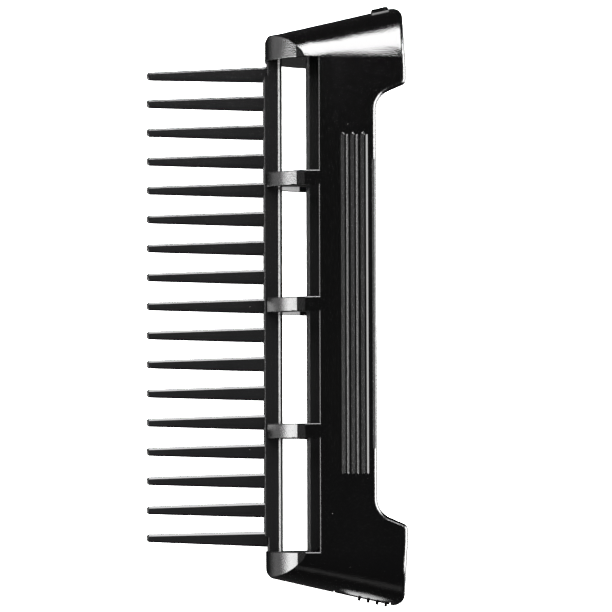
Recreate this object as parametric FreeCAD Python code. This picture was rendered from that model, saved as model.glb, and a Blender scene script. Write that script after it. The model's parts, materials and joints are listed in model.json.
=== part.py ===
import FreeCAD, Part
import math
import os

# Clip-on wide-tooth comb nose for a hot-air styling appliance.
# A hollow two-part housing clips over the appliance's long outlet at its open
# side (+X) and carries a comb insert in its slanted nose (-X).
#
# Frame: the piece lies flat. X runs from the tooth tips (-X) to the socket
# mouth (+X), Y along the row of teeth, Z through the thickness. The parting
# plane of the two housing halves is Z = 0, and the origin is the centre of the
# whole piece. All lengths are millimetres.

V = FreeCAD.Vector

# --- housing: section across the nose (X and height above the parting plane)
half_depth = 10.0        # parting plane to the flat face
wall = 1.8               # housing wall
nose_x = -2.46           # front edge of the end caps
nose_land = 2.0          # height of the upright land on the nose tip
bow_x = 1.5              # a point on the bowed nose facet ...
bow_z = half_depth - 3.05
crease_x = 4.6           # crease between the bowed facet and the narrow one
crease_z = half_depth - 0.7
face_x = 6.4             # where the flat face starts

# --- housing: plan view
flat_half = 54.7         # half length of the flat face, and of the window row
end_x = 0.36             # a point on the sloping end ...
end_y = flat_half + 6.4  # ... and its distance from the middle
end_slope = 0.226        # how fast the end spreads towards the mouth
left_corner_r = 2.5
right_corner_r = 2.6
corner_x = 28.15         # right-hand corner of the end
flare_x = 29.0           # mouth edge of the two flared ends
flare_y = flat_half - 2.2
notch_y = flat_half - 5.8
rear_notch_extra = 2.5   # the rear half's notch is longer by this at each end
notch_slope = 0.43       # slope of the notch's shoulder
notch_corner_r = 1.4
notch_root_r = 4.5
seat_x = 22.3            # mouth edge at the bottom of the notch
edge_round = 0.9         # rounding of the mouth edge
relief_half = flat_half - 22.7
relief_width = 1.0
relief_drop = 0.22

# --- windows and the straps between them
window_x = 9.6           # back edge of the windows
strap_pitch = 0.5125 * flat_half
strap_width = 3.3
strap_count = 3
strap_recess = 0.45      # the straps start this far behind the end caps
window_edge = 0.25       # rounding round each window

# --- bulkheads that close the window row, and the pegs that key the halves
bulkhead = 1.5
peg_r = 0.8
peg_length = 2.6
peg_clearance = 0.05
peg_end_gap = 0.4        # the hole is deeper than the peg by this
boss_r = 1.7
boss_x = 4.6

# --- grip ribs on both faces
grip_x = (15.22, 17.37, 19.57)
grip_half = flat_half - 16.7
grip_slope = 0.8         # run of the slope towards the teeth
grip_crown = 0.4
grip_back = 0.42        # run of the slope towards the mouth
grip_height = 0.4

# --- comb insert
spine_x0 = -2.93         # tooth side of the spine
spine_x1 = 1.35          # air side of the spine
spine_half_z = 1.8
end_gap = 0.02           # between the insert's ends and the bulkheads
spine_step = 0.75        # the spine is narrower by this at its two ends
spine_step_y = flat_half - 3.8
spine_lip = 0.5          # chamfer on the tooth side
spine_bevel = 0.42       # bevel on the air side, across ...
spine_bevel_drop = 0.16  # ... and through the thickness
spine_ledge = 0.45       # ledge beside the bevel
rail_x0 = 6.7
rail_x1 = 10.4
rail_half_z = 2.2
rail_bevel = 0.8
rail_peg_r = 0.75
rail_peg_inset = 1.0
rail_peg_length = 0.6
link_width = 2.4
link_half_z = 1.3

# --- teeth
tooth_count = 17
tooth_pitch = 6.5
tooth_tip_x = -29.0
tooth_root_width = 3.45
tooth_tip_width = 1.85
tooth_draft = 0.06       # how far each flank falls away from the middle
tooth_bevel = 0.48       # bevel between a flank and a face, across ...
tooth_bevel_drop = 0.25  # ... and through the thickness
tooth_root_half_z = 1.6
tooth_tip_half_z = 1.05
tooth_tip_round = 0.5
tip_middle_shrink = 0.22 # how far the tip has drawn in half way round, and at its end
tip_end_shrink = 0.62
end_tooth_lean = 0.3     # the outermost tips lean in by this

# --- release tab in the -Y end, and the pad and fixed catch at the +Y end
tab_root_x = 12.5
tab_free_x = 24.9
tab_half_z = 2.6
tab_gap = 0.35
tab_root_r = 0.75
tab_root_depth = 1.1
tab_root_clearance = 0.05
tab_neck = 0.25          # the tongue starts this far past the middle of its root
tab_rib_x = (18.3, 20.25, 22.25, 24.2)
tab_rib_width = 0.55
tab_rib_height = 0.55
tab_rib_half_z = 2.1
pad_x0 = 21.4
pad_x1 = 25.2
pad_height = 0.38
pad_half_z = 3.0
pad_bevel = 0.25         # bevel of the pad on its tooth side, and twice that on the other
catch_x0 = 21.9
catch_x1 = 24.5
catch_height = 1.1
catch_half_z = 2.0
catch_ramp = 0.7         # run of the catch's two slopes
catch_step = 0.2         # upright edge below them

# --- worked out from the values above
end_cos = math.cos(math.atan(end_slope))
end_sin = math.sin(math.atan(end_slope))
beyond = 15.0            # how far cutting tools reach past the piece
tiny = 0.01
far_x = flare_x + beyond
far_y = end_y + beyond
strap_places = [strap_pitch * (i - (strap_count - 1) / 2) for i in range(strap_count)]


def xz(a, b):
    return V(a, 0, b)


def xy(a, b):
    return V(a, b, 0)


def rounded_wire(corners, place):
    """Closed wire through (a, b, radius) corners, each radius a tangent arc."""
    count = len(corners)
    starts = []
    ends = []
    middles = []
    for i, (a, b, radius) in enumerate(corners):
        here = V(a, b, 0)
        back = V(corners[i - 1][0], corners[i - 1][1], 0).sub(here)
        ahead = V(corners[(i + 1) % count][0], corners[(i + 1) % count][1], 0).sub(here)
        back.normalize()
        ahead.normalize()
        half = back.getAngle(ahead) / 2
        run = radius / math.tan(half)
        starts.append(here.add(V(back).multiply(run)))
        ends.append(here.add(V(ahead).multiply(run)))
        bisector = back.add(ahead)
        if radius:
            bisector.normalize()
        reach = radius / math.sin(half) - radius
        middles.append(here.add(bisector.multiply(reach)))
    edges = []
    for i in range(count):
        if corners[i][2]:
            arc = Part.Arc(*[place(p.x, p.y) for p in (starts[i], middles[i], ends[i])])
            edges.append(arc.toShape())
        after = starts[(i + 1) % count]
        if ends[i].distanceToPoint(after) > 1e-6:
            edges.append(Part.makeLine(place(ends[i].x, ends[i].y), place(after.x, after.y)))
    return Part.Wire(edges)


def prism(corners, low, high):
    """Plan outline in X and Y, from one height to another."""
    face = Part.Face(rounded_wire(corners, xy))
    face.translate(V(0, 0, low))
    return face.extrude(V(0, 0, high - low))


def box(x0, x1, y0, y1, z0, z1):
    return Part.makeBox(x1 - x0, y1 - y0, z1 - z0, V(x0, y0, z0))


def round_edges(shape, radius, wanted):
    """Round the edges whose middle point passes the test."""
    edges = [e for e in shape.Edges if wanted(e.valueAt(sum(e.ParameterRange) / 2), e)]
    return shape.makeFillet(radius, edges)


def flipped(shape):
    """The same shape on the other side of the parting plane."""
    return shape.mirror(V(0, 0, 0), V(0, 0, 1))


def end_line(x, inset=0.0):
    """Distance of the sloping end from the middle at x."""
    return end_y + end_slope * (x - end_x) - inset / end_cos


def on_end(x, depth, side):
    """Point over the sloping end at x, depth below its surface; side is +1 or -1."""
    return V(x + end_sin * depth, side * (end_line(x) - end_cos * depth), 0)


def end_block(points, side, half_z):
    """Block drawn on the sloping end: (x, depth) points, both ways from the parting plane."""
    corners = [on_end(x, depth, side) for x, depth in points]
    face = Part.Face(Part.makePolygon(corners + corners[:1]))
    face.translate(V(0, 0, -half_z))
    return face.extrude(V(0, 0, 2 * half_z))


# ------------------------------------------------------------ housing forms

def nose_outside():
    corners = [xz(nose_x, 0), xz(nose_x, nose_land)]
    bow = Part.Arc(corners[1], xz(bow_x, bow_z), xz(crease_x, crease_z)).toShape()
    rest = Part.makePolygon([xz(crease_x, crease_z), xz(face_x, half_depth),
                             xz(far_x, half_depth), xz(far_x, 0), corners[0], corners[1]])
    face = Part.Face(Part.Wire([bow] + rest.Edges))
    face.translate(V(0, -far_y, 0))
    return face.extrude(V(0, 2 * far_y, 0))


def nose_inside():
    """The cavity's section: one wall inside the chord of the bowed facet."""
    run = crease_x - nose_x
    rise = crease_z - nose_land
    length = math.hypot(run, rise)
    through_x = bow_x + wall * rise / length
    through_z = bow_z - wall * run / length
    roof = half_depth - wall
    low_x = through_x - (through_z - spine_half_z) * run / rise
    roof_x = through_x + (roof - through_z) * run / rise
    corners = [xz(low_x, 0), xz(low_x, spine_half_z), xz(roof_x, roof), xz(far_x, roof), xz(far_x, 0)]
    face = Part.Face(Part.makePolygon(corners + corners[:1]))
    face.translate(V(0, -far_y, 0))
    return face.extrude(V(0, 2 * far_y, 0))


def end_quarter(x, inset, side, up):
    """Quarter ellipse from the parting plane at one end to the edge of one flat face."""
    height = up * (half_depth - inset)
    reach = side * end_line(x, inset)
    poles = [V(x, reach, 0), V(x, reach, height), V(x, side * flat_half, height)]
    curve = Part.BSplineCurve()
    curve.buildFromPolesMultsKnots(poles, [3, 3], [0.0, 1.0], False, 2, [1.0, math.sqrt(0.5), 1.0])
    return curve.toShape()


def end_form(inset):
    """The housing's length and rounded ends, above the parting plane."""
    sections = []
    for x in (nose_x - 1, far_x):
        height = half_depth - inset
        reach = end_line(x, inset)
        top = Part.makeLine(V(x, flat_half, height), V(x, -flat_half, height))
        base = Part.makeLine(V(x, -reach, 0), V(x, reach, 0))
        sections.append(Part.Wire([end_quarter(x, inset, 1, 1), top, end_quarter(x, inset, -1, 1), base]))
    return Part.makeLoft(sections, True, True)


def end_bulge(inset):
    """The rounded -Y end alone, whole through the thickness."""
    sections = []
    for x in (nose_x - 1, far_x):
        height = half_depth - inset
        back = Part.makeLine(V(x, -flat_half, -height), V(x, -flat_half, height))
        sections.append(Part.Wire([end_quarter(x, inset, -1, 1), back, end_quarter(x, inset, -1, -1)]))
    return Part.makeLoft(sections, True, True)


def plan_outline(notch):
    """Outline of a half, with the notch's corner at the given distance."""
    shoulder = notch - notch_slope * (flare_x - seat_x)
    upper = [
        (nose_x, end_line(nose_x), left_corner_r),
        (corner_x, end_line(corner_x), right_corner_r),
        (flare_x, flare_y, 0),
        (flare_x, notch, notch_corner_r),
        (seat_x, shoulder, notch_root_r),
    ]
    lower = [(a, -b, r) for a, b, r in reversed(upper)]
    return upper + lower


def outside(notch):
    block = nose_outside().common(end_form(0)).common(prism(plan_outline(notch), 0, half_depth))
    return round_edges(block, edge_round, on_mouth_rim)


def on_mouth_rim(middle, edge):
    return middle.x > seat_x - edge_round and middle.z > half_depth - tiny


def cavity():
    inner = nose_inside().common(end_form(wall))
    left = nose_x + wall
    return inner.common(box(left, far_x, -far_y, far_y, 0, half_depth))


def window_row():
    """Everything between the straps, from the nose to the back of the windows."""
    above = half_depth + beyond
    row = box(nose_x - beyond, window_x, -flat_half, flat_half, -1, above)
    for y in strap_places:
        low = y - strap_width / 2
        high = y + strap_width / 2
        row = row.cut(box(nose_x + strap_recess, window_x, low, high, -1, above))
    return row


def on_window_edge(middle, edge):
    """Edges round each window: beside a strap or an end cap, and along its back."""
    if middle.x > window_x + tiny or abs(middle.y) > flat_half + tiny or middle.z < nose_land + window_edge:
        return False
    along = edge.BoundBox
    if along.XLength < tiny:
        return middle.x > window_x - tiny and along.YLength > strap_width
    return along.YLength < tiny


def relief():
    """Shallow bevel along the mouth edge, where the thumb slides off."""
    points = [xz(seat_x - relief_width, half_depth), xz(seat_x + 1, half_depth + 1),
              xz(seat_x + 1, half_depth), xz(seat_x, half_depth - relief_drop)]
    face = Part.Face(Part.makePolygon(points + points[:1]))
    face.translate(V(0, -relief_half, 0))
    return face.extrude(V(0, 2 * relief_half, 0))


def stadium(x, half_width, half_length, z):
    """Closed wire of two straights and two half rounds."""
    straight = half_length - half_width
    left, right = x - half_width, x + half_width
    top = Part.Arc(V(left, straight, z), V(x, half_length, z), V(right, straight, z)).toShape()
    bottom = Part.Arc(V(right, -straight, z), V(x, -half_length, z), V(left, -straight, z)).toShape()
    return Part.Wire([top, Part.makeLine(V(right, straight, z), V(right, -straight, z)), bottom,
                      Part.makeLine(V(left, -straight, z), V(left, straight, z))])


def grips():
    """Low ribs on the flat face: a long slope towards the teeth, a short one towards the mouth."""
    width = grip_slope + grip_crown + grip_back
    ribs = []
    for x in grip_x:
        crown_x = x - width / 2 + grip_slope + grip_crown / 2
        crown_half = grip_half - (width - grip_crown) / 2
        foot = stadium(x, width / 2, grip_half, half_depth)
        crown = stadium(crown_x, grip_crown / 2, crown_half, half_depth + grip_height)
        root = Part.Face(stadium(x, width / 2, grip_half, half_depth - wall / 4))
        ribs.append(Part.makeLoft([foot, crown], True, True).fuse(root.extrude(V(0, 0, wall / 4))))
    return ribs


def bulkheads():
    """Walls across the nose that close the two ends of the window row."""
    outer = flat_half + bulkhead
    return [box(nose_x - 1, window_x, -outer, -flat_half, -1, half_depth),
            box(nose_x - 1, window_x, flat_half, outer, -1, half_depth)]


def boss_places():
    """Middle of each pocket behind a bulkhead."""
    inner = end_line(boss_x, wall)
    y = (flat_half + bulkhead + inner) / 2
    return [V(boss_x, -y, 0), V(boss_x, y, 0)]


def catch(side):
    """Wedge that hooks under the appliance's outlet, on the inside of the end wall."""
    step = wall + catch_step
    crest = wall + catch_height
    return end_block([(catch_x0, wall / 2), (catch_x1, wall / 2), (catch_x1, step),
                      (catch_x1 - catch_ramp, crest), (catch_x0 + catch_ramp, crest),
                      (catch_x0, step)], side, catch_half_z)


def pad():
    """Low pad on the outside of the +Y end."""
    deep = wall / 2
    shoulder = pad_bevel - pad_height
    return end_block([(pad_x0, deep), (pad_x0, shoulder), (pad_x0 + pad_bevel, -pad_height),
                      (pad_x1 - 2 * pad_bevel, -pad_height), (pad_x1, shoulder), (pad_x1, deep)],
                     1, pad_half_z)


def tab_opening():
    """Slot in the -Y end wall that the release tab lies in, and the socket for its root."""
    last = tab_free_x + tab_gap
    half_z = tab_half_z + tab_gap
    slot = end_block([(tab_root_x, -wall), (last, -wall), (last, 2 * wall), (tab_root_x, 2 * wall)],
                     -1, half_z)
    root = tab_axis()
    socket = Part.makeCylinder(tab_root_r + tab_root_clearance, 2 * half_z, V(root.x, root.y, -half_z))
    return slot.fuse(socket)


def tab_axis():
    return on_end(tab_root_x, tab_root_depth, -1)


def insert_room():
    """Room for the comb insert's spine, between the nose tips of the two halves."""
    return box(nose_x - beyond, spine_x1 + end_gap, -flat_half, flat_half, -1, spine_half_z)


def hollow():
    """The cavity, less everything of the housing that stands inside it."""
    room = cavity()
    for piece in bulkheads() + [catch(1)]:
        room = room.cut(piece)
    for place in boss_places():
        room = room.cut(Part.makeCylinder(boss_r, half_depth, place))
    return room


def housing_half(notch, is_front):
    """One half of the housing, above the parting plane."""
    half = outside(notch).cut(window_row())
    half = round_edges(half, window_edge, on_window_edge)
    shell = half.cut(relief()).cut(hollow()).cut(insert_room())
    for piece in grips():
        shell = shell.fuse(piece)
    above = box(nose_x - beyond, far_x, -far_y, far_y, 0, half_depth)
    shell = shell.fuse(pad().common(above))
    for place in boss_places():
        if is_front:
            shell = shell.cut(Part.makeCylinder(peg_r + peg_clearance, peg_length + peg_end_gap, place))
        else:
            shell = shell.fuse(Part.makeCylinder(peg_r, peg_length + boss_r, place.sub(V(0, 0, peg_length))))
    return shell.cut(tab_opening())


def front_shell():
    return housing_half(notch_y, True)


def rear_shell():
    return flipped(housing_half(notch_y + rear_notch_extra, False))


# ---------------------------------------------------------------- comb insert

def bar_section(x0, x1, half_z, left, right):
    """Bar section in X and Z with chamfered corners."""
    return [xz(x0, half_z - left), xz(x0 + left, half_z), xz(x1 - right, half_z), xz(x1, half_z - right),
            xz(x1, right - half_z), xz(x1 - right, -half_z), xz(x0 + left, -half_z), xz(x0, left - half_z)]


def bar(section, half_length):
    face = Part.Face(Part.makePolygon(section + section[:1]))
    face.translate(V(0, -half_length, 0))
    return face.extrude(V(0, 2 * half_length, 0))


def spine_section(x0):
    """Spine section in X and Z: a lip towards the teeth, a bevel and a ledge towards the air."""
    ledge_x = spine_x1 - spine_ledge
    ledge_z = spine_half_z - spine_bevel_drop
    upper = [xz(x0, spine_half_z - spine_lip), xz(x0 + spine_lip, spine_half_z),
             xz(ledge_x - spine_bevel, spine_half_z), xz(ledge_x, ledge_z), xz(spine_x1, ledge_z)]
    return upper + [xz(point.x, -point.z) for point in reversed(upper)]


def comb_spine():
    half_length = flat_half - end_gap
    spine = bar(spine_section(spine_x0), half_length)
    narrow = bar(spine_section(spine_x0 + spine_step), half_length)
    step_end = spine_step_y + spine_step
    wide_part = prism([(spine_x0 - 1, 1 - spine_step_y, 0), (spine_x0 + spine_step, -step_end, 0),
                       (far_x, -step_end, 0), (far_x, step_end, 0),
                       (spine_x0 + spine_step, step_end, 0), (spine_x0 - 1, spine_step_y - 1, 0)],
                      -half_depth, half_depth)
    return spine.common(wide_part).fuse(narrow).removeSplitter()


def inner_rail():
    half_length = flat_half - end_gap
    rail = bar(bar_section(rail_x0, rail_x1, rail_half_z, rail_bevel, rail_bevel), half_length)
    middle = (rail_x0 + rail_x1) / 2
    reach = rail_half_z + rail_peg_length
    for side in (-1, 1):
        y = side * (half_length - rail_peg_inset)
        rail = rail.fuse(Part.makeCylinder(rail_peg_r, 2 * reach, V(middle, y, -reach)))
    return rail.removeSplitter()


def link(y):
    return box(spine_x1, rail_x0, y - link_width / 2, y + link_width / 2, -link_half_z, link_half_z)


def tooth_section(x, y, width, half_z):
    """Eight-sided section: widest on the parting plane, slight draft, and a bevel to each face."""
    half = width / 2
    shoulder = half - tooth_draft
    flat = shoulder - tooth_bevel
    shoulder_z = half_z - tooth_bevel_drop
    quarter = [(half, 0), (shoulder, shoulder_z), (flat, half_z)]
    outline = quarter + [(-a, b) for a, b in reversed(quarter)] + [(-a, -b) for a, b in quarter[1:]]
    outline += [(a, -b) for a, b in reversed(quarter[1:])]
    points = [V(x, y + a, b) for a, b in outline]
    return Part.makePolygon(points + points[:1])


def tooth(index, spine):
    y = (tooth_count - 1) / 2 * tooth_pitch - index * tooth_pitch
    tip_y = y
    if index in (0, tooth_count - 1):
        tip_y = y - math.copysign(end_tooth_lean, y)
    root_x = spine_x0 + spine_step + tiny
    length = root_x - tooth_tip_x
    shoulder = (length - tooth_tip_round) / length
    sections = []
    stations = [(0, 0), (shoulder, 0), ((shoulder + 1) / 2, tip_middle_shrink), (1, tip_end_shrink)]
    for share, shrink in stations:
        drawn_in = shrink * tooth_tip_round
        width = tooth_root_width + (tooth_tip_width - tooth_root_width) * share - 2 * drawn_in
        half_z = tooth_root_half_z + (tooth_tip_half_z - tooth_root_half_z) * share - drawn_in
        sections.append(tooth_section(root_x - length * share, y + (tip_y - y) * share, width, half_z))
    return Part.makeLoft(sections, True, True).cut(spine)


# ---------------------------------------------------------------- release tab

def release_tab():
    """Tongue of the end wall with four ribs outside and a catch inside."""
    first = tab_root_x + tab_neck
    strip = end_block([(first, -wall), (tab_free_x, -wall), (tab_free_x, 2 * wall), (first, 2 * wall)],
                      -1, tab_half_z)
    tab = strip.common(end_bulge(0)).cut(end_bulge(wall))
    root = tab_axis()
    tab = tab.fuse(Part.makeCylinder(tab_root_r, 2 * tab_half_z, V(root.x, root.y, -tab_half_z)))
    for x in tab_rib_x:
        low = x - tab_rib_width / 2
        high = x + tab_rib_width / 2
        rib = end_block([(low, wall / 2), (low, -tab_rib_height), (high, -tab_rib_height), (high, wall / 2)],
                        -1, tab_rib_half_z)
        tab = tab.fuse(rib)
    return tab.fuse(catch(-1)).removeSplitter()


# --------------------------------------------------------------------- output

spine = comb_spine()
nodes = {
    "front_shell": front_shell(),
    "rear_shell": rear_shell(),
    "comb_spine": spine,
    "inner_rail": inner_rail(),
    "release_tab": release_tab(),
}
for number, y in enumerate(strap_places, 1):
    nodes["cross_link_%d" % number] = link(y)
for index in range(tooth_count):
    nodes["tooth_%02d" % (index + 1)] = tooth(index, spine)

os.makedirs("parts", exist_ok=True)
for name, shape in nodes.items():
    bounds = shape.optimalBoundingBox(False)
    print("%-14s solids %d valid %s volume %8.1f  x %7.2f %7.2f  y %7.2f %7.2f  z %7.2f %7.2f" % (
        name, len(shape.Solids), shape.isValid(), shape.Volume,
        bounds.XMin, bounds.XMax, bounds.YMin, bounds.YMax, bounds.ZMin, bounds.ZMax))
    shape.exportStep("parts/%s.step" % name)
print("tab axis x %.3f y %.3f" % (tab_axis().x, tab_axis().y))
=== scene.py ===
# %% [markdown]
# # Comb nose for a hot-air styler
# The piece is a hollow black plastic shell with a wide-tooth comb along one side. It clips over the
# outlet of a hot-air styler, and air blows out beside the roots of the teeth.
# Every solid already has its real size and place, so this lesson only gives the two plastics their
# finish, lays the piece on a pale floor and lights it as a small product is lit.

import json
import math

import bpy
from mathutils import Matrix, Vector


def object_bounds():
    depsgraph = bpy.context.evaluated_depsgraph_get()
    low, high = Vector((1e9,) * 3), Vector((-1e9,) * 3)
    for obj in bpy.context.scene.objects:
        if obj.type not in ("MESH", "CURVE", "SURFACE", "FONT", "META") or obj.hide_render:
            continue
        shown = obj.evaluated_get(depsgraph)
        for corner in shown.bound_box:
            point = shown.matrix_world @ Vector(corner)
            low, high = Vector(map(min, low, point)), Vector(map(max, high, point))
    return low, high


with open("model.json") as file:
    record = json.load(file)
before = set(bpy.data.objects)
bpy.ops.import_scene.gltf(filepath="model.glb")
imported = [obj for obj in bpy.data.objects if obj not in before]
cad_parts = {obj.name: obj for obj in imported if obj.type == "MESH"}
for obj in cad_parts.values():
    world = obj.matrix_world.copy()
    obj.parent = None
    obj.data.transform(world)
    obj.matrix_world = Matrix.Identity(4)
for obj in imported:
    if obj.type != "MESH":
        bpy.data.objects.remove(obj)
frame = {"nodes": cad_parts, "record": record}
start_low, start_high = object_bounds()
middle = (start_low + start_high) / 2
size = start_high - start_low
mm = 0.001
print("solids", len(frame["nodes"]), "size in mm", [round(s / mm, 1) for s in size])

# %% [markdown]
# ## Small helpers
# A procedural finish is a small graph of nodes. Three short helpers keep the graphs readable: one adds
# a node and sets its values, one joins two sockets, and one starts a node group with named sockets.

# %% Helpers for node graphs
def add(tree, kind, settings=None, **values):
    """Adds a node. Settings are its own properties, and values go to its input sockets by name."""
    node = tree.nodes.new(kind)
    for name, value in (settings or {}).items():
        setattr(node, name, value)
    for name, value in values.items():
        node.inputs[name.replace("_", " ")].default_value = value
    return node


def math_node(tree, operation, *inputs):
    """A maths node whose inputs are numbers or sockets."""
    node = add(tree, "ShaderNodeMath", {"operation": operation})
    for socket, value in zip(node.inputs, inputs):
        if isinstance(value, (int, float)):
            socket.default_value = value
        else:
            tree.links.new(value, socket)
    return node.outputs[0]


def new_group(name, inputs, outputs):
    """A shader node group: inputs are (name, type, start value), outputs are (name, type)."""
    group = bpy.data.node_groups.new(name, "ShaderNodeTree")
    for label, kind, value in inputs:
        socket = group.interface.new_socket(label, in_out="INPUT", socket_type="NodeSocket" + kind)
        if value is not None:
            socket.default_value = value
    for label, kind in outputs:
        group.interface.new_socket(label, in_out="OUTPUT", socket_type="NodeSocket" + kind)
    return group, group.nodes.new("NodeGroupInput").outputs, group.nodes.new("NodeGroupOutput").inputs


def use_group(tree, group, position, **values):
    """Places a group in a material, fed with the surface position and its own values."""
    node = add(tree, "ShaderNodeGroup", {"node_tree": group}, **values)
    tree.links.new(position, node.inputs["Position"])
    return node.outputs


print("helpers ready")

# %% [markdown]
# ## Moulded grain
# Both plastics come out of a mould whose steel was spark-eroded, so the surface is covered with soft
# bumps about a third of a millimetre across. They could be modelled, but they are far smaller than
# any edge. Noise that feeds a bump is enough, and it breaks up the rim of each highlight. A second,
# finer noise marks small pits, where the gloss is a little lower.

# %% Grain group
pit_fineness = 1.7  # pits across one bump
pit_start, pit_full = 0.58, 0.72  # noise values between which a pit sets in

grain_group, given, result = new_group(
    "moulded grain",
    [("Position", "Vector", None), ("Cell size", "Float", 0.3), ("Unevenness", "Float", 0.5)],
    [("Height", "Float"), ("Pits", "Float")],
)
tree = grain_group
cells_per_metre = math_node(tree, "DIVIDE", 1 / mm, given["Cell size"])
soft_bumps = add(tree, "ShaderNodeTexNoise", Detail=3.0, Lacunarity=2.1)
tree.links.new(given["Position"], soft_bumps.inputs["Vector"])
tree.links.new(cells_per_metre, soft_bumps.inputs["Scale"])
tree.links.new(given["Unevenness"], soft_bumps.inputs["Roughness"])
tree.links.new(soft_bumps.outputs["Fac"], result["Height"])
pit_noise = add(tree, "ShaderNodeTexNoise", Detail=1.0)
tree.links.new(given["Position"], pit_noise.inputs["Vector"])
tree.links.new(math_node(tree, "MULTIPLY", cells_per_metre, pit_fineness), pit_noise.inputs["Scale"])
pits = add(tree, "ShaderNodeMapRange", {"interpolation_type": "SMOOTHSTEP"},
           From_Min=pit_start, From_Max=pit_full)
tree.links.new(pit_noise.outputs["Fac"], pits.inputs["Value"])
tree.links.new(pits.outputs["Result"], result["Pits"])
print("group:", grain_group.name)

# %% [markdown]
# ## Uneven tone
# No moulding has exactly the same shade and gloss all over: the plastic flows in from one side and
# cools at its own pace. Slow noise, drawn out along the piece, gives both plastics this drift.

# %% Tone group
drift_across, drift_along = 70.0, 22.0  # patches of tone per metre, across and along the piece
shade_part, gloss_part = 2.0, 0.35  # how much of the drift goes into the shade and into the gloss

tone_group, given, result = new_group(
    "uneven tone",
    [("Position", "Vector", None), ("Strength", "Float", 0.2)],
    [("Tone", "Float"), ("Gloss shift", "Float")],
)
tree = tone_group
stretch = add(tree, "ShaderNodeMapping", Scale=(drift_across, drift_along, drift_across))
tree.links.new(given["Position"], stretch.inputs["Vector"])
flow = add(tree, "ShaderNodeTexNoise", Scale=1.0, Detail=4.0, Roughness=0.55)
tree.links.new(stretch.outputs["Vector"], flow.inputs["Vector"])
centred = math_node(tree, "SUBTRACT", flow.outputs["Fac"], 0.5)
drift = math_node(tree, "MULTIPLY", centred, given["Strength"])
tree.links.new(math_node(tree, "MULTIPLY_ADD", drift, shade_part, 1.0), result["Tone"])
tree.links.new(math_node(tree, "MULTIPLY", drift, gloss_part), result["Gloss shift"])
print("group:", tone_group.name)

# %% [markdown]
# ## Dust
# Black plastic shows every speck. Each cell of a Voronoi pattern may hold one speck, and a random
# number per cell decides if it does, so the specks are scattered and never form a grid.

# %% Dust group
dust_group, given, result = new_group(
    "dust specks",
    [("Position", "Vector", None), ("Spacing", "Float", 2.0), ("Share", "Float", 0.2),
     ("Speck size", "Float", 0.04)],
    [("Specks", "Float")],
)
tree = dust_group
spots = add(tree, "ShaderNodeTexVoronoi", Randomness=1.0)
tree.links.new(given["Position"], spots.inputs["Vector"])
tree.links.new(math_node(tree, "DIVIDE", 1 / mm, given["Spacing"]), spots.inputs["Scale"])
chance = add(tree, "ShaderNodeSeparateColor")
tree.links.new(spots.outputs["Color"], chance.inputs["Color"])
radius = math_node(tree, "MULTIPLY", given["Speck size"], chance.outputs["Green"])
inside = math_node(tree, "LESS_THAN", spots.outputs["Distance"], radius)
chosen = math_node(tree, "LESS_THAN", chance.outputs["Red"], given["Share"])
tree.links.new(math_node(tree, "MULTIPLY", inside, chosen), result["Specks"])
print("group:", dust_group.name)

# %% [markdown]
# ## Plastic from the groups
# Both finishes are one recipe with different values: a base shade times the tone, lighter where dust
# lies, a roughness that drifts and rises in the pits, and the grain as bump. What differs is the
# depth and size of the grain, the gloss and the shade.

# %% Recipe for a moulded plastic
dust_colour = (0.11, 0.105, 0.1, 1.0)
dust_cover = 0.6  # how much of the plastic's own shade a speck hides
dust_roughness = 0.3
pit_roughness = 0.12


def moulded_plastic(name, shade, roughness, grain_mm, grain_depth_mm, tone_strength, dust_share):
    """One of the two plastics. The material comes back with its shader, for what is set on that alone."""
    material = bpy.data.materials.new(name)
    material.use_nodes = True
    tree = material.node_tree
    surface = tree.nodes["Principled BSDF"]
    position = add(tree, "ShaderNodeTexCoord").outputs["Object"]
    grain = use_group(tree, grain_group, position, Cell_size=grain_mm)
    tone = use_group(tree, tone_group, position, Strength=tone_strength)
    dust = use_group(tree, dust_group, position, Share=dust_share)

    toned = add(tree, "ShaderNodeVectorMath", {"operation": "SCALE"})
    toned.inputs[0].default_value = shade
    tree.links.new(tone["Tone"], toned.inputs["Scale"])
    dusted = add(tree, "ShaderNodeMix", {"data_type": "RGBA"})
    tree.links.new(math_node(tree, "MULTIPLY", dust["Specks"], dust_cover), dusted.inputs["Factor"])
    tree.links.new(toned.outputs["Vector"], dusted.inputs["A"])
    dusted.inputs["B"].default_value = dust_colour
    tree.links.new(dusted.outputs["Result"], surface.inputs["Base Color"])

    drifting = math_node(tree, "ADD", tone["Gloss shift"], roughness)
    pitted = math_node(tree, "MULTIPLY_ADD", grain["Pits"], pit_roughness, drifting)
    dusty = math_node(tree, "MULTIPLY_ADD", dust["Specks"], dust_roughness, pitted)
    tree.links.new(dusty, surface.inputs["Roughness"])

    bump = add(tree, "ShaderNodeBump", Strength=1.0, Distance=grain_depth_mm * mm)
    tree.links.new(grain["Height"], bump.inputs["Height"])
    tree.links.new(bump.outputs["Normal"], surface.inputs["Normal"])
    return material, surface


print("recipe ready")

# %% [markdown]
# ## Housing: satin black
# The two halves of the housing and the release tab are near-black ABS with a satin gloss. Hardly any
# light comes back from inside the plastic, so its shape is told by reflections alone.

# %% Housing plastic
housing_plastic, surface = moulded_plastic(
    "satin black housing", shade=(0.0004, 0.0004, 0.00042), roughness=0.08,
    grain_mm=0.3, grain_depth_mm=0.031, tone_strength=0.25, dust_share=0.16)
surface.inputs["IOR"].default_value = 1.52
surface.inputs["Specular IOR Level"].default_value = 0.5
print("material:", housing_plastic.name)

# %% [markdown]
# ## Comb insert: matte dark grey
# The comb has to take heat and bend without breaking, so it is another plastic, such as a glass-filled
# nylon. It comes out duller and a shade greyer than the housing, with a coarser skin.

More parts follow.
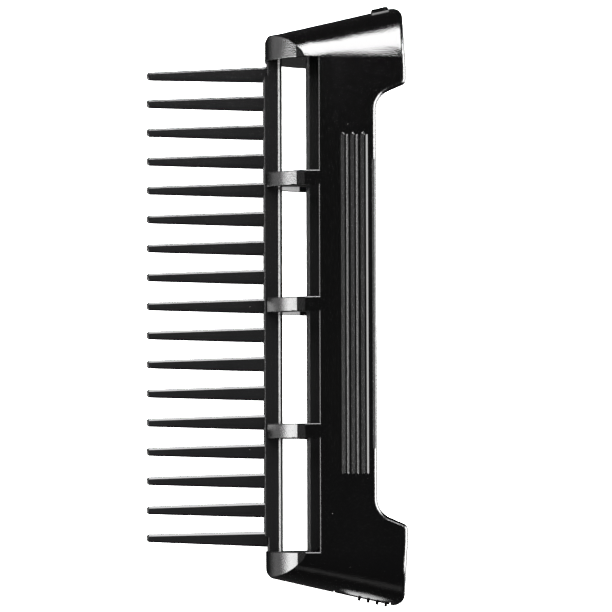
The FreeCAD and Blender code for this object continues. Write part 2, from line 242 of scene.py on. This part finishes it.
# %% Comb plastic
comb_plastic, surface = moulded_plastic(
    "matte comb insert", shade=(0.0028, 0.0028, 0.0029), roughness=0.10,
    grain_mm=0.34, grain_depth_mm=0.03, tone_strength=0.3, dust_share=0.12)
surface.inputs["IOR"].default_value = 1.5
surface.inputs["Specular IOR Level"].default_value = 0.34
print("material:", comb_plastic.name)

# %% [markdown]
# ## Dress the solids
# The record says which of the two plastics each solid is made of. Going by that list, and not by a
# list written again here, keeps the looks and the record from drifting apart.

# %% Give each solid its plastic
finishes = {"housing": housing_plastic, "comb": comb_plastic}
slots = {row["node"]: row["material_slot"] for row in frame["record"]["subparts"]}
for name, solid in frame["nodes"].items():
    solid.data.materials.clear()
    solid.data.materials.append(finishes[slots[name]])
print({slot: sum(1 for s in slots.values() if s == slot) for slot in finishes})

# %% [markdown]
# ## Floor and surroundings
# A small black piece is lit against white, so that its outline stays crisp. The floor glows by
# itself, which keeps it plain white, and it is left out of reflections so that the underside
# of the piece stays dark. The surroundings look white to the camera and dim grey to the plastic.

# %% Floor
floor_half = 3.0  # metres
floor_gap = 0.02 * mm
floor_z = start_low.z - floor_gap
floor_mesh = bpy.data.meshes.new("floor")
floor_mesh.from_pydata(
    [(-floor_half, -floor_half, floor_z), (floor_half, -floor_half, floor_z),
     (floor_half, floor_half, floor_z), (-floor_half, floor_half, floor_z)], [], [(0, 1, 2, 3)])
floor = bpy.data.objects.new("floor", floor_mesh)
bpy.context.scene.collection.objects.link(floor)
floor.visible_glossy = False
floor.visible_shadow = False

paper = bpy.data.materials.new("white paper")
paper.use_nodes = True
surface = paper.node_tree.nodes["Principled BSDF"]
surface.inputs["Base Color"].default_value = (0.85, 0.85, 0.85, 1.0)
surface.inputs["Roughness"].default_value = 0.9
surface.inputs["Emission Color"].default_value = (1.0, 1.0, 1.0, 1.0)
surface.inputs["Emission Strength"].default_value = 1.0
floor_mesh.materials.append(paper)
print("floor at z", round(floor_z / mm, 2), "mm")

# %% Surroundings
world = bpy.data.worlds.new("studio")
bpy.context.scene.world = world
world.use_nodes = True
tree = world.node_tree
tree.nodes.clear()
dim = add(tree, "ShaderNodeBackground", Color=(0.05, 0.05, 0.05, 1.0), Strength=1.0)
white = add(tree, "ShaderNodeBackground", Color=(1.0, 1.0, 1.0, 1.0), Strength=1.0)
choose = add(tree, "ShaderNodeMixShader")
ray = add(tree, "ShaderNodeLightPath")
out = add(tree, "ShaderNodeOutputWorld")
tree.links.new(ray.outputs["Is Camera Ray"], choose.inputs["Fac"])
tree.links.new(dim.outputs["Background"], choose.inputs[1])
tree.links.new(white.outputs["Background"], choose.inputs[2])
tree.links.new(choose.outputs["Shader"], out.inputs["Surface"])
bpy.context.scene.view_settings.view_transform = "Standard"
print("surroundings ready")

# %% [markdown]
# ## Lights
# On black plastic a light isn't seen by what it lights but by its mirror image. To an eye overhead, a
# slope mirrors what lies twice as far from overhead as the slope leans. So each softbox is given by
# its angle down from overhead, towards one side, and by the spread of angles that it fills.

# %% Helpers for lights
light_distance = 1.0  # metres


def lamp(name, place, direction, side, across, tall, glow, shape="RECTANGLE"):
    """An area light that faces back along `direction`. A rectangle looks as bright as its `glow`."""
    light = bpy.data.lights.new(name, "AREA")
    light.shape = shape
    light.size = across
    light.size_y = tall
    light.energy = glow * math.pi * across * tall
    holder = bpy.data.objects.new(name, light)
    bpy.context.scene.collection.objects.link(holder)
    holder.location = place
    across_axis = Vector((0, 0, 1)).cross(side).normalized()
    up_axis = direction.cross(across_axis)
    holder.rotation_euler = Matrix((across_axis, up_axis, direction)).transposed().to_euler()
    holder.visible_camera = False
    print(name, "power", round(light.energy, 4))


def softbox(name, towards, angle, spread, across, glow):
    """A box light that fills `spread` degrees round `angle`, down from overhead towards a side."""
    tilt = math.radians(angle)
    side = Vector(towards).normalized()
    direction = side * math.sin(tilt) + Vector((0, 0, math.cos(tilt)))
    tall = 2 * light_distance * math.tan(math.radians(spread / 2))
    lamp(name, middle + direction * light_distance, direction, side, across, tall, glow)


print("light helpers ready")

# %% [markdown]
# One big box beyond the top end draws the broad white band on the rounding there. One on the comb
# side brightens the slanted nose, with a weak fill above and below it. Two on the mouth side catch the
# mouth edge, the spine's bevel and the backs of the ribs, and a weak fill above them catches the
# shallow bevel along the mouth. A very weak one beyond the bottom end keeps the rounding there from
# going quite black. Past 90 degrees a box lies below the piece: it stands for the lit paper, whose
# glow the lowest roundings would mirror.

# %% Softboxes
comb_side, mouth_side = (-1, 0, 0), (1, 0, 0)
softbox("top end box", (-0.12, 1, 0), angle=43.5, spread=41, across=0.8, glow=23)
softbox("comb side box", (-1, -0.24, 0), angle=71.5, spread=22, across=0.83, glow=18)
softbox("comb side high fill", comb_side, angle=50, spread=16, across=1.0, glow=0.9)
softbox("comb side low fill", comb_side, angle=95, spread=22, across=1.2, glow=1.6)
softbox("mouth side top fill", mouth_side, angle=26, spread=9, across=1.2, glow=2.6)
softbox("mouth side high box", mouth_side, angle=54, spread=32, across=1.2, glow=32)
softbox("mouth side low box", mouth_side, angle=80, spread=20, across=1.2, glow=9)
softbox("mouth side paper", mouth_side, angle=112, spread=44, across=1.2, glow=8)
softbox("bottom end fill", (-0.226, -1, 0), angle=73, spread=9, across=1.2, glow=0.45)

# %% [markdown]
# A small lit card lies on the paper just beyond the bottom end, near the release tab. It is so close
# that only a short stretch of the rounded end mirrors it, as a soft glow that dies away both ways.

# %% Card at the bottom end
card_across, card_tall = 9 * mm, 17 * mm
card_x = 16.8 * mm
card_beyond = 14 * mm  # from the end of the piece to the middle of the card
card_lift = 0.5 * mm
card_place = Vector((card_x, start_low.y - card_beyond, start_low.z + card_lift))
straight_down = Vector((0, 0, -1))
bottom_side = Vector((0, -1, 0))
lamp("bottom end card", card_place, straight_down, bottom_side, card_across, card_tall, glow=2.5,
     shape="ELLIPSE")

# %% [markdown]
# ## Camera
# The piece is seen from straight above its front face, a little towards the release tab, through a
# long lens so that the two ends look the same size.

# %% Camera
view_distance = 714 * mm
view_drop = 40.5 * mm
view_width = 136.9 * mm
view_roll = math.radians(-0.15)
aim = Vector((6.62 * mm, 0.0, 0.0))
eye = Vector((6.6 * mm, -view_drop, view_distance))
camera_data = bpy.data.cameras.new("camera")
camera = bpy.data.objects.new("camera", camera_data)
bpy.context.scene.collection.objects.link(camera)
camera.location = eye
roll = Matrix.Rotation(view_roll, 3, "Z")
camera.rotation_euler = ((eye - aim).to_track_quat("Z", "Y").to_matrix() @ roll).to_euler()
camera_data.sensor_width = 36.0
camera_data.lens = camera_data.sensor_width * (eye - aim).length / view_width
bpy.context.scene.camera = camera
print("lens", round(camera_data.lens, 1), "mm")

# %% [markdown]
# ## Finish

# %% Finish
print("scene ready")
